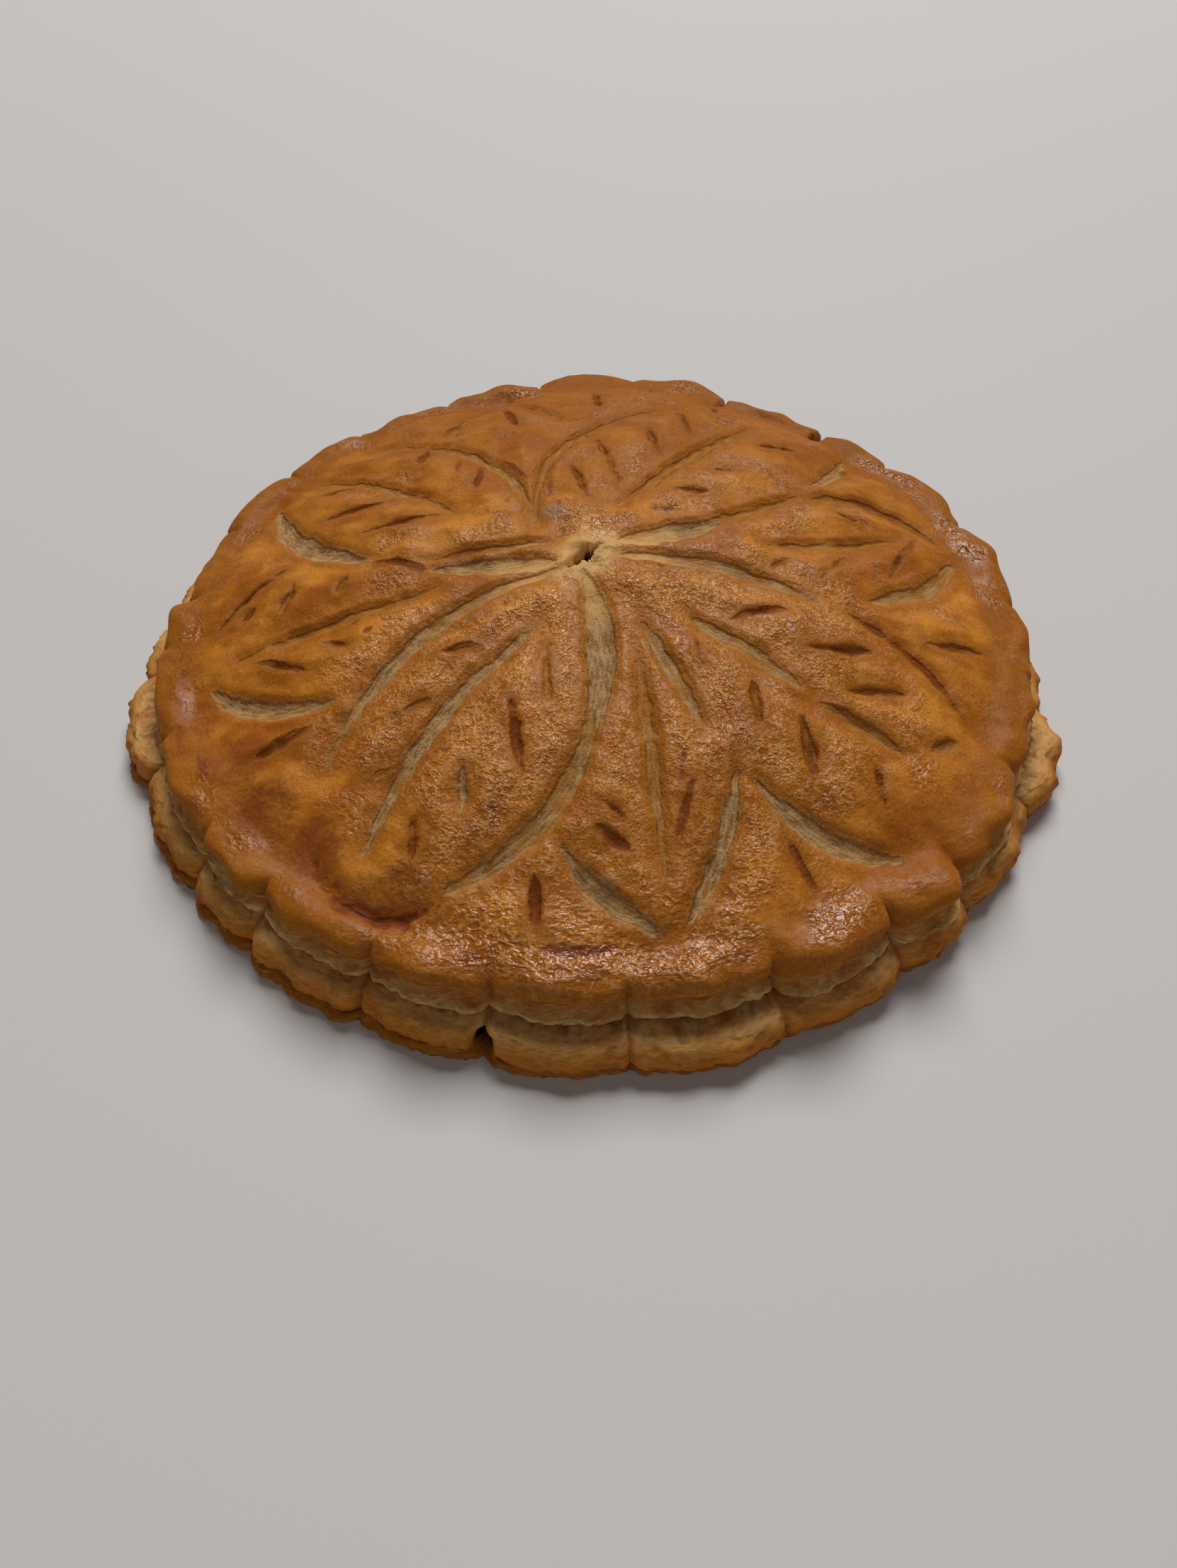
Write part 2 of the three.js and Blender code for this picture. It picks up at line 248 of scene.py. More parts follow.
for number, (way_out, level, share) in enumerate(RIM_TOP):
    sway = BORDER_SWAY * ripple(rim_bearing, BORDER_WAVES, SEED + 5 + number)
    reach = NET_RADIUS + (top_reach - NET_RADIUS) * way_out + sway
    corners.append((reach, level + share * lift - BORDER_DIP * abs(sway)))
for number, (inset, level, share) in enumerate(TOP_SHEET_EDGE):
    sway = EDGE_SWAY * ripple(rim_bearing, EDGE_WAVES, SEED + 10 + number)
    corners.append((top_reach - inset + sway, level + share * lift + TOP_EDGE_LIFT * sway))
for number, (inset, level) in enumerate(BASE_SHEET_EDGE):
    sway = EDGE_SWAY * ripple(rim_bearing, EDGE_WAVES, SEED + 30 + number) * (level > 0)
    tuck = SKIRT_TUCK * (level < SKIRT_TOP) * tucked_in
    corners.append((base_reach - inset - tuck + sway, level + BASE_EDGE_LIFT * sway))
corner_radius, corner_height = np.array(corners).swapaxes(0, 1)
slit = np.exp(-(notch_distance[on_rim] / NOTCH_SLIT_WIDTH) ** 2)
corner_radius[EDGE_CORNER - 1:-1] -= NOTCH_SLIT_DEPTH * slit

# The rings lie on a smooth line through the corners
station = ring[on_rim] / RIM_RINGS * LAST_CORNER
first = np.minimum(station.astype(int), LAST_CORNER - 1)
share = station - first
points = [np.clip(first + step, 0, LAST_CORNER) for step in (-1, 0, 1, 2)]
column = np.arange(len(first))


def through(values):
    """A smooth line through the section's corners, at each point's own station."""
    before, start, end, after = (values[row, column] for row in points)
    return 0.5 * (
        2 * start + (end - before) * share + (2 * before - 5 * start + 4 * end - after) * share ** 2
        + (3 * start - before - 3 * end + after) * share ** 3
    )


radius[on_rim] = through(corner_radius)
height[on_rim] = np.where(station < LAST_CORNER, np.maximum(through(corner_height), LOWEST_RING), 0)
layer = np.zeros(count)
layer[on_rim] = station

# Flaky layers at the sides: each ring of the mesh wavers by itself
for number in range(1, RIM_RINGS + 1):
    these = ring == number
    flaky = FLAKE_SWAY * soft_step(number / RIM_RINGS * LAST_CORNER, EDGE_CORNER, EDGE_CORNER + 2)
    radius[these] += flaky * ripple(bearing[these], FLAKE_WAVES, SEED + 100 + number)
x, y = radius * np.cos(bearing), radius * np.sin(bearing)

# The cuts, leaf by leaf. Each: start and end on plan, how far its middle bows to the left of its
# run, how wide it has opened, and how dark its floor is, from pale pastry to burnt glaze.
CUTS = np.array([
    # front left leaf
    [-14, -24, -52, -80, -4, 4, 0.15], [-8, -5, -63, -57, -9, 4, 0.2], [-3, -6, -1, -56, 3.5, 7, 0.05],
    [0, -42, -36, -91, 10.5, 5, 0.25], [-65, -77, -33, -91, -10, 2, 1], [-26, -30, -40, -32, 0, 4, 0.6],
    [-37, -44, -47, -48, 0, 3, 0.6], [-44, -60, -53, -63, 0, 2.5, 0.6], [-12, -31, -11, -48, 0, 2, 0.4],
    [-20, -46, -17, -64, 0, 3, 0.85], [-30, -64, -30, -74, 0, 2.5, 0.1], [-41, -73, -41, -83, 0, 2.5, 0.9],
    # front leaf
    [10, -30, 15, -89, 0, 3, 0.4], [11, -22, 25, -53, 0, 3.5, 0.2], [32, -62, 20, -97, 2, 3.5, 0.1],
    [-8, -81, 15, -100, -3, 4, 0.05], [0, -71, 6, -76, 0, 2, 0.8], [0, -78, 8, -84, 0, 3.5, 0.85],
    [22, -66, 18, -80, 0, 2, 0.9],
    # front right leaf
    [23, -20, 50, -41, 0, 4.5, 0.3], [52, -43, 73, -54, 0, 5, 0.5], [36, -65, 70, -79, -5, 5, 0.05],
    [62, -13, 91, -40, 4, 2, 0.8], [24, -28, 25, -36, 0, 2, 0.9], [37, -40, 38, -53, 0, 3.5, 0.7],
    [48, -48, 50, -64, 0, 4, 0.7], [65, -59, 67, -71, 0, 2, 0.9], [33, -21, 48, -17, 0, 3.5, 0.65],
    [51, -29, 69, -26, 0, 3.5, 0.7], [60, -39, 75, -37, 0, 3, 0.6], [80, -52, 87, -47, 0, 4.5, 0.5],
    # right leaf
    [5, -1, 56, -12, 4, 4.5, 0.2], [70, -8, 100, 21, -4, 5, 0.35], [45, 9, 84, 24, -3, 2.5, 0.5],
    [60, 33, 97, 27, 7.5, 4, 0.6], [45, -1, 50, 3, 0, 2.5, 0.7], [58, -4, 67, 9, 0, 2, 0.6],
    [78, 4, 89, 25, 0, 2.5, 0.65], [66, 28, 73, 25, 0, 2, 0.6],
    # back right leaf
    [5, 4, 34, 15, 0, 7, 0], [26, 13, 56, 33, -1, 2.5, 0.5], [60, 40, 75, 66, -2, 3.5, 0.2],
    [21, 28, 32, 27, 0, 3, 0.6], [33, 40, 42, 41, 0, 2, 0.5], [47, 60, 60, 61, 0, 3, 0.6],
    [73, 64, 74, 55, 0, 2.5, 0.7],
    # back leaf
    [6, 22, 48, 78, -1, 3.5, 0.5], [-15, 11, 25, 86, 14, 3, 0.5], [1, 56, 7, 33, 0, 2, 0.7],
    [16, 63, 18, 50, 0, 2, 0.7], [25, 83, 29, 62, 0, 2.5, 0.7], [37, 91, 38, 83, 0, 2, 0.7],
    # back left leaves
    [-15, 11, -65, 69, -12, 3, 0.4], [-41, 68, -29, 96, 4, 2, 0.5], [-29, 96, -9, 75, 2.5, 2, 0.5],
    [-7, 43, -1, 22, 0, 2, 0.8], [-27, 86, -22, 67, 0, 3, 0.85], [-44, 70, -39, 83, 0, 3, 0.8],
    [-25, 46, -18, 34, 0, 2.5, 0.85], [-48, 60, -49, 48, 0, 2, 0.8], [-31, 44, -32, 30, 0, 2, 0.9],
    # left leaf behind
    [-36, 20, -82, 55, -2.5, 2.5, 0.45], [-58, 5, -91, 45, 6.5, 6, 0.05], [-8, -3, -42, -2, 0, 6, 0],
    [-12, 5, -42, 2, -0.5, 2, 0.6], [-57, 4, -42, -2, 0, 3, 0.8], [-75, 27, -55, 32, 0, 3.5, 0.55],
    [-62, 16, -40, 20, 0, 3, 0.55], [-77, 43, -67, 43, 0, 2.5, 0.55],
    # left leaf
    [-40, -9, -90, -20, 0, 2, 0.5], [-82, 9, -100, -11, -1.5, 3, 0.6], [-97, -27, -62, -40, -5, 5, 0.1],
    [-64, 1, -66, -8, 0, 2, 0.6], [-78, 1, -81, -11, 0, 3, 0.65], [-88, -3, -93, -12, 0, 3, 0.65],
    [-69, -21, -60, -25, 0, 3, 0.55], [-86, -23, -71, -30, 0, 4, 0.65],
    # between the leaves' tips
    [-81, -53, -67, -47, 0, 4.5, 0.7], [-14, -88, -13, -100, 0, 3, 0.9], [43, -78, 48, -89, 0, 3, 0.8],
    [84, -19, 101, -17, 0, 4, 0.6], [1, 100, 2, 84, 0, 3, 0.8],
])
CUT_DEPTH_BASE = 0.8
CUT_DEPTH_SHARE = 0.16
CUT_END_DEPTH = 0.35
CUT_FLOOR_SHARE = 0.3
CUT_LIP = 0.25
CUT_LIP_WIDTH = 0.9
CUT_TAPER = 0.6
CUT_REACH = 16.0
CUT_STEP = 0.7
FEWEST_STEPS = 8

# A leaf's long outlines and its short veins: how wide the shoulder of the cut is, and how far and
# how wide the pastry beside it has stayed down while the leaf puffed up
LONG_CUT = 28.0
OUTLINE_SHOULDER, OUTLINE_PUFF, OUTLINE_PUFF_WIDTH = 1.8, 2.3, 8.5
VEIN_SHOULDER, VEIN_PUFF, VEIN_PUFF_WIDTH = 1.0, 0.9, 3.8
VEIN_PINCH = 0.14
LEAF_RISE = 0.7
LEAF_FADE = (106.0, 112.0)

# Uneven swells, each with its height, the size of its lumps and its seed: they make the edges of
# the cuts wander, and the whole top lumpy
CUT_WANDER = [(0.30, 4.5, SEED + 7), (0.22, 2, SEED + 8)]
TOP_LUMPS = [(0.45, 24, SEED + 3), (0.28, 8, SEED + 4), (0.14, 3.5, SEED + 9)]


def waves(x, y, size, seed, count=28):
    """Smooth uneven swell over the plan, between about -1 and 1, with lumps of the given size."""
    draw = np.random.default_rng(seed)
    turns = draw.uniform(0, 2 * np.pi, count)
    phases = draw.uniform(0, 2 * np.pi, count)
    stretches = draw.uniform(0.6, 1.7, count)
    total = np.zeros_like(x)
    for turn, phase, stretch in zip(turns, phases, stretches):
        total += np.sin((x * np.cos(turn) + y * np.sin(turn)) * np.pi / (size * stretch) + phase)
    return total / math.sqrt(count)


def cut_field(x, y, cut):
    """For points near one cut: distance outside its edge, place along and across it, its taper."""
    start, end, bow, width = cut[0:2], cut[2:4], cut[4], cut[5]
    run = end - start
    length = np.hypot(*run)
    left = np.array([-run[1], run[0]]) / length
    bend = (start + end) / 2 + 2 * bow * left
    share = np.linspace(0, 1, max(FEWEST_STEPS, int(length / CUT_STEP)))[:, None]
    line = (1 - share) ** 2 * start + 2 * share * (1 - share) * bend + share ** 2 * end
    heading = np.gradient(line, axis=0)
    heading /= np.hypot(heading[:, 0], heading[:, 1])[:, None]
    near = np.argmin((x[:, None] - line[:, 0]) ** 2 + (y[:, None] - line[:, 1]) ** 2, axis=1)
    off_x, off_y = x - line[near, 0], y - line[near, 1]
    away = np.hypot(off_x, off_y)
    across = heading[near, 0] * off_y - heading[near, 1] * off_x
    taper = np.sin(np.pi * share[near, 0]) ** CUT_TAPER
    return away - width / 2 * taper, share[near, 0] * length, across, taper


# The scored top: every cut sinks the glaze, and the nearest one is kept for the material
top = layer < EDGE_CORNER
ragged = sum(amount * waves(x, y, size, seed) for amount, size, seed in CUT_WANDER)
edge_distance = np.full(count, CUT_REACH)
cut_along = np.zeros(count)
cut_across = np.zeros(count)
cut_tone = np.zeros(count)
sunk = np.zeros(count)
for cut in CUTS:
    start, end, bow, width, tone = cut[0:2], cut[2:4], cut[4], cut[5], cut[6]
    low = np.minimum(start, end) - CUT_REACH - abs(bow)
    high = np.maximum(start, end) + CUT_REACH + abs(bow)
    near = np.flatnonzero(top & (x > low[0]) & (x < high[0]) & (y > low[1]) & (y < high[1]))
    outside, run, across, taper = cut_field(x[near], y[near], cut)
    outside = outside + ragged[near]
    if np.hypot(*(end - start)) > LONG_CUT:
        shoulder, puff, puff_width = OUTLINE_SHOULDER, OUTLINE_PUFF, OUTLINE_PUFF_WIDTH
    else:
        shoulder, puff, puff_width = VEIN_SHOULDER, VEIN_PUFF, VEIN_PUFF_WIDTH
        outside = outside + VEIN_PINCH * width * taper
    depth = (CUT_DEPTH_BASE + CUT_DEPTH_SHARE * width) * (CUT_END_DEPTH + (1 - CUT_END_DEPTH) * taper)
    hollow = depth * (1 - soft_step(outside, -CUT_FLOOR_SHARE * width, shoulder))
    hollow += puff * np.exp(-(np.maximum(outside, 0) / puff_width) ** 2)
    hollow -= CUT_LIP * np.exp(-((outside - shoulder) / CUT_LIP_WIDTH) ** 2) * taper
    sunk[near] = np.maximum(sunk[near], hollow)
    nearer = outside < edge_distance[near]
    chosen = near[nearer]
    edge_distance[chosen] = outside[nearer]
    cut_along[chosen] = run[nearer]
    cut_across[chosen] = across[nearer]
    cut_tone[chosen] = tone

# Streaks where sugar has run and darkened, drawn as the cuts are, with their strength last, and
# spots and broad ruddy places: place on plan, size and strength
STREAKS = np.array([
    [-44, -95, -34, -92.5, 0, 1.4, 0.9], [-13, -103.4, 5, -102.3, -1, 2.0, 1],
    [8, -102.6, 12, -102.5, 0, 1.4, 0.7], [29, -107, 34, -102, 0, 2.2, 0.6],
    [-31, -104, -24, -105.6, 0, 2.6, 0.7], [-96.4, -48, -93, -56, 0, 2.2, 0.8],
    [-86, -61, -72, -80, 0, 3.5, 0.5], [-61.4, -83.4, -55.6, -91, 1, 1.2, 0.9],
    [-56, -91, -46, -96, 1, 2.4, 1], [-46, -96, -40, -95.5, 0, 1.4, 0.9],
    [-107, -11, -104.6, -28, 0, 1.6, 0.7], [-105, -28, -101, -48, 0, 1.8, 0.6],
    [-23, 25, -23, 18, 0, 0.8, 1], [-38, 48, -38, 42, 0, 0.8, 1], [-12, 35, -12, 26, 0, 0.8, 1],
    [20, -59, 19, -67, 0, 0.9, 1], [52, 22, 57, 20, 0, 1.2, 0.8], [15, 19, 21, 19, 0, 1.2, 0.8],
    [19, 107, 19, 102, 0, 1.2, 0.8], [-24, -70, -23, -74, 0, 1.0, 0.8], [-38, 0, -28, 0, 0, 1.4, 1],
    [-53, 38, -42, 29, 0, 1.6, 0.6], [-54, -17, -47, -20, 0, 1.2, 0.8],
])
SPOTS = [
    (-60, -16, 1.3, 1), (-56, -21, 1.6, 1), (-34, -58, 1.5, 0.5), (-22, -17, 1.2, 0.7), (17, -4, 1.2, 1),
    (22, -49, 1.4, 0.5), (32, -64, 1.4, 0.5),
    (-97, -36, 8, 0.5), (-85, -53, 10, 0.55), (-76, -67, 10, 0.6), (-63, -78, 9, 0.6), (-48, -89, 8, 0.5),
    (-29, -98, 9, 0.45), (-9, -95, 10, 0.45), (12, -106, 9, 0.4), (49, -93, 8, 0.4), (94, -42, 8, 0.4),
]
STREAK_EDGE = (-0.4, 1.0)
STREAK_DEPTH = 0.5
SPOT_CORE = 0.5
SPOT_FADE = 1.3

# Blisters, greyish and thin-skinned: place on plan, radius and height
BLISTERS = [(-11, 17, 4.6, 0.7), (1.5, -90.5, 3.0, 0.6)]
BLISTER_CORE = 0.45

stain = np.zeros(count)
for streak in STREAKS:
    outside = cut_field(x, y, streak)[0] + ragged
    stain = np.maximum(stain, streak[6] * (1 - soft_step(outside, *STREAK_EDGE)))
for spot_x, spot_y, size, strength in SPOTS:
    away = np.hypot(x - spot_x, y - spot_y)
    stain = np.maximum(stain, strength * (1 - soft_step(away, SPOT_CORE * size, SPOT_FADE * size)))
sunk += STREAK_DEPTH * stain
blister = np.zeros(count)
for blister_x, blister_y, size, rise in BLISTERS:
    dome = 1 - soft_step(np.hypot(x - blister_x, y - blister_y), BLISTER_CORE * size, size)
    blister = np.maximum(blister, dome)
    sunk -= rise * dome
lumps = sum(rise * waves(x, y, size, seed) for rise, size, seed in TOP_LUMPS)
height[top] += ((LEAF_RISE - sunk) * (1 - soft_step(radius, *LEAF_FADE)))[top]
height[top] += (lumps * soft_step(EDGE_CORNER - layer, 0, 2))[top]

# The vent torn in the middle, drawn as a cut, with its wall and the lip turned up round it
VENT = np.array([-6, -5, 3, 3.5, 0.6, 3, 1])
VENT_DEPTH = 7.0
VENT_WALL = (-1.0, 0.5)
VENT_WANDER, VENT_WANDER_SIZE = 0.5, 1.6
VENT_LIP, VENT_LIP_WIDTH, VENT_LIP_LUMPS = 0.7, 3.5, 3

vent_distance = cut_field(x, y, VENT)[0] + VENT_WANDER * waves(x, y, VENT_WANDER_SIZE, SEED + 5)
height -= np.where(top, VENT_DEPTH * (1 - soft_step(vent_distance, *VENT_WALL)), 0)
torn_lip = VENT_LIP * np.exp(-(np.maximum(vent_distance, 0) / VENT_LIP_WIDTH) ** 2)
height += np.where(top, torn_lip * (1 + waves(x, y, VENT_LIP_LUMPS, SEED + 6)), 0)

# Cracks in the rim: bearing in degrees, width and depth. The tear is in the base sheet.
CRACKS = [(49, 3.4, 9.0), (67, 2.4, 7.0)]
CRACK_START = 103.0
TEAR_BEARING = 258
TEAR_HEIGHT = 4.6
TEAR_FOOT = 1.2
TEAR_HALF_WIDTH = 2.4
TEAR_HALF_HEIGHT = 3.0
TEAR_DEPTH = 5.0

for degrees, width, depth in CRACKS:
    turned = bearing - math.radians(degrees)
    sideways = np.abs(radius * np.sin(turned))
    there = (np.cos(turned) > 0) & (radius > CRACK_START) & (layer < EDGE_CORNER + 2)
    height -= np.where(there, depth * np.clip(1 - sideways / (width / 2), 0, 1), 0)
turned = bearing - math.radians(TEAR_BEARING)
sideways = radius * np.sin(turned) / TEAR_HALF_WIDTH
upwards = (height - TEAR_HEIGHT) / TEAR_HALF_HEIGHT
there = (np.cos(turned) > 0) & (layer > LIP_CORNER + 1) & (height > TEAR_FOOT)
tear = np.where(there, np.exp(-sideways ** 4 - upwards ** 4), 0)
radius -= TEAR_DEPTH * tear

# The cake's place: the middle of its outline's box at the origin
x, y = radius * np.cos(bearing), radius * np.sin(bearing)
place = np.column_stack([x, y, height])
middle = (place[:, :2].min(axis=0) + place[:, :2].max(axis=0)) / 2
place[:, :2] -= middle
cake_mesh.vertices.foreach_set("co", (place * MM).ravel())

# Where the glaze has crinkled, most at the front and right of the middle, least on the left:
# places on plan, spread and strength
CRINKLED = [
    (-25, -55, 34, 0.9), (0, -90, 30, 0.7), (25, -60, 36, 0.8), (55, -35, 30, 0.5), (10, -20, 30, 0.6),
    (0, -112, 40, 0.45), (-45, -35, 25, 0.6), (60, 10, 40, 0.3), (-30, 30, 60, 0.25), (30, 60, 60, 0.2),
]
CRINKLE_CHANGE, CRINKLE_CHANGE_SIZE = 0.2, 14

crinkle = CRINKLE_CHANGE * waves(x, y, CRINKLE_CHANGE_SIZE, SEED + 11)
for centre_x, centre_y, spread, strength in CRINKLED:
    crinkle += strength * np.exp(-((x - centre_x) ** 2 + (y - centre_y) ** 2) / spread ** 2)

# What the material reads from the mesh, with a way of its own round the rim and down its section
SECTION_STEP = 2.2

path_out = np.where(layer > 0, SECTION_STEP * layer, radius - NET_RADIUS)
round_the_rim = np.column_stack([EDGE_RADIUS * np.cos(bearing), EDGE_RADIUS * np.sin(bearing), path_out])
for name, values in {
    "edge_distance": edge_distance,
    "cut_along": cut_along,
    "cut_across": cut_across,
    "cut_tone": cut_tone,
    "layer": layer,
    "notch_distance": notch_distance,
    "vent_distance": vent_distance,
    "tear": tear,
    "crinkle": np.clip(crinkle, 0, 1),
    "stain": np.where(top, stain, 0),
    "blister": np.where(top, blister, 0),
}.items():
    kept = cake_mesh.attributes.new(name, "FLOAT", "POINT")
    kept.data.foreach_set("value", values.astype(np.float32))
kept = cake_mesh.attributes.new("round_the_rim", "FLOAT_VECTOR", "POINT")
kept.data.foreach_set("vector", round_the_rim.astype(np.float32).ravel())
cake_mesh.shade_smooth()
cake = bpy.data.objects.new("cake", cake_mesh)
scene.collection.objects.link(cake)


class Shade:
    """A socket of a material's nodes. Arithmetic on it adds Math nodes."""

    def __init__(self, socket):
        self.socket = socket

    def node(self, kind, settings=(), sockets=(), output=0):
        """Adds a node to the same material: its settings first, then values or links for its sockets."""
        tree = self.socket.id_data
        made = tree.nodes.new(kind)
        for name, value in dict(settings).items():
            if name == "stops":
                while len(made.color_ramp.elements) < len(value):
                    made.color_ramp.elements.new(0.5)
                for element, (position, colour) in zip(made.color_ramp.elements, value):
                    element.position = position
                    element.color = (*colour, 1)
            else:
                setattr(made, name, value)
        for name, value in dict(sockets).items():
            if isinstance(value, Shade):
                tree.links.new(value.socket, made.inputs[name])
            else:
                made.inputs[name].default_value = value
        return Shade(made.outputs[output])

    def math(self, operation, *values):
        return self.node("ShaderNodeMath", {"operation": operation}, dict(enumerate(values)))

    def __add__(self, other):
        return self.math("ADD", self, other)

    def __sub__(self, other):
        return self.math("SUBTRACT", self, other)

    def __rsub__(self, other):
        return self.math("SUBTRACT", other, self)

    def __mul__(self, other):
        return self.math("MULTIPLY", self, other)

    def __abs__(self):
        return self.math("ABSOLUTE", self)

    __radd__ = __add__
    __rmul__ = __mul__

    def between(self, low, high):
        """0 at low and 1 at high, with a smooth way between."""
        sockets = {"Value": self, "From Min": low, "From Max": high}
        return self.node("ShaderNodeMapRange", {"interpolation_type": "SMOOTHSTEP"}, sockets)

    def colour(self, first, second):
        """The first colour where this is 0, the second where it is 1."""
        settings = {"data_type": "RGBA", "clamp_factor": True}
        return self.node("ShaderNodeMix", settings, {0: self, 6: as_colour(first), 7: as_colour(second)}, 2)


def as_colour(value):
    return value if isinstance(value, Shade) else (*value, 1)


def coated(colour, coats):
    """A colour with coats laid over it in turn, each as (how much of it shows, its colour)."""
    for cover, coat in coats:
        colour = cover.colour(colour, coat)
    return colour


def new_material(name):
    """A material with its shader node."""
    material = bpy.data.materials.new(name)
    material.use_nodes = True
    return material, material.node_tree.nodes["Principled BSDF"]


# Colours of the glaze, of the pastry under it and of what has burnt, with a painted glint for highlights
# and a painted shadow for dark hollows
GOLD = (0.83, 0.310, 0.030)
BROWN = (0.63, 0.196, 0.013)
RUDDY = (0.46, 0.108, 0.006)
RUST = (0.39, 0.118, 0.008)
AMBER = (0.46, 0.142, 0.005)
PAINTED_GLINT = (0.95, 0.50, 0.20)
PALE = (0.56, 0.335, 0.14)
RIND = (0.48, 0.195, 0.034)
FLECK = (0.26, 0.105, 0.026)
CREAM = (0.84, 0.47, 0.16)
BLISTER_SKIN = (0.40, 0.205, 0.085)
BURNT = (0.24, 0.058, 0.009)
BURNT_SUGAR = (0.26, 0.052, 0.016)
PAINTED_SHADOW = (0.015, 0.007, 0.002)

# The colours down the side, by the section's corners: glaze, a painted shadow in the fold under the roll,
# flaky layers, cream lip, a painted shadow in the gap over the base sheet, the base sheet from pale to
# brown, and a painted shadow in the gap over the thin flake under it
SIDE_COLOURS = [
    (6.1, (0.40, 0.115, 0.006)), (6.7, (0.20, 0.075, 0.018)), (7.4, (0.48, 0.210, 0.055)),
    (8.8, (0.50, 0.215, 0.058)), (9.6, (0.74, 0.380, 0.115)), (10.3, (0.92, 0.58, 0.24)),
    (11.3, (0.84, 0.48, 0.165)), (12.1, (0.22, 0.095, 0.030)), (12.9, (0.80, 0.44, 0.155)),
    (14.2, (0.74, 0.335, 0.085)), (15.5, (0.64, 0.225, 0.028)), (17.4, (0.54, 0.163, 0.014)),
    (18.4, (0.34, 0.093, 0.009)), (19.0, (0.08, 0.025, 0.004)), (19.8, (0.52, 0.175, 0.018)),
    (21.5, (0.42, 0.135, 0.012)),
]

# Where one finish goes over into the next, in millimetres from a cut's edge, from the vent, from a
# notch and out from the net, then by the section's corners, and in metres towards the far side
BANK = (6.5, 0.5)
CUT_FLOOR_EDGE = (1.1, -0.8)
CUT_FLOOR_STEP = (-0.5, 0.4)
VENT_CREAM = (24.0, 10.0)
VENT_TORN = (8.5, 2.0)
VENT_SHADOW = (0.2, -0.5)
NOTCH_SHADE = (1.0, 0.1)
RIM_WRINKLES = (-16, 4)
RIM_START = (0, 2)
ROLL = (EDGE_CORNER - 2.6, EDGE_CORNER - 1)
NOTCH_SHADE_START = (EDGE_CORNER - 1.5, EDGE_CORNER)
GLAZE_END = (EDGE_CORNER - 1.2, EDGE_CORNER - 0.2)
SIDE_START = (EDGE_CORNER + 0.1, EDGE_CORNER + 0.5)
WALL_TOP = (EDGE_CORNER, EDGE_CORNER + 1)
WALL_FOOT = (LIP_CORNER + 3, LIP_CORNER + 1)
BASE_GLAZE = (15.0, 16.5)
FAR_SIDE = (-0.02, 0.11)

# The strands in the cuts: how far they are drawn out, and how their pattern moves from cut to cut
STRAND_STRETCH = 0.22
STRAND_CHANGE = 10

# Heights of the finest relief in millimetres, then the gloss of glazed and of bare pastry
CRUMPLE_RELIEF = 0.36
LUMP_RELIEF = 0.15
GRAIN_RELIEF = 0.04
CUT_FLOOR_RELIEF = 0.4
STRAND_RELIEF = 0.35
LAYER_RELIEF = 0.5
GLAZE_ROUGHNESS = 0.48
CRUMPLE_GLOSS = 0.32
BARE_ROUGHNESS = 0.7
GLAZE_SHINE = 0.44
BARE_SHINE = 0.06

pastry, glazed_shader = new_material("pastry")
glazed = Shade(glazed_shader.outputs[0])


def attribute(name, output="Fac"):
    return glazed.node("ShaderNodeAttribute", {"attribute_name": name}, {}, output)


position = glazed.node("ShaderNodeTexCoord", {}, {}, "Object")


def noise(lumps, detail=3.0, vector=position, unit=MM, **sockets):
    """Noise with so many lumps in a millimetre."""
    sockets = {"Vector": vector, "Scale": lumps / unit, "Detail": detail, **sockets}
    return glazed.node("ShaderNodeTexNoise", {}, sockets, "Fac")


def stretched(vector, stretch):
    """A vector with its parts drawn out, so that a pattern on it runs along one of them."""
    return glazed.node("ShaderNodeVectorMath", {"operation": "MULTIPLY"}, {0: vector, 1: stretch})


def crests(lumps, detail, **sockets):
    """Noise folded into wandering crests: 1 along them, less in the pits between."""
    return 1 - abs(noise(lumps, detail, **sockets) * 2 - 1)


# What the mesh carries, then patterns by their lumps in a millimetre, and masks made from both
outside = attribute("edge_distance")
tone = attribute("cut_tone")
vent = attribute("vent_distance")
layers = attribute("layer")
crinkled = attribute("crinkle")
round_rim = attribute("round_the_rim", "Vector")
wobble = noise(0.25, 4) - 0.5
ragged_edge = noise(0.9, 3) - 0.5
broad = noise(0.025, 2)
patches = noise(0.10, 3)
mottle = noise(0.45, 4)
grain = noise(1.6, 2)
by_the_rim = glazed.node("ShaderNodeSeparateXYZ", {}, {0: round_rim}, "Z").between(*RIM_WRINKLES)
far_side = glazed.node("ShaderNodeSeparateXYZ", {}, {0: position}, "Y").between(*FAR_SIDE)
rim_mask = layers.between(*RIM_START)
roll = layers.between(*ROLL)
bank = (outside + wobble * 7.0).between(*BANK)
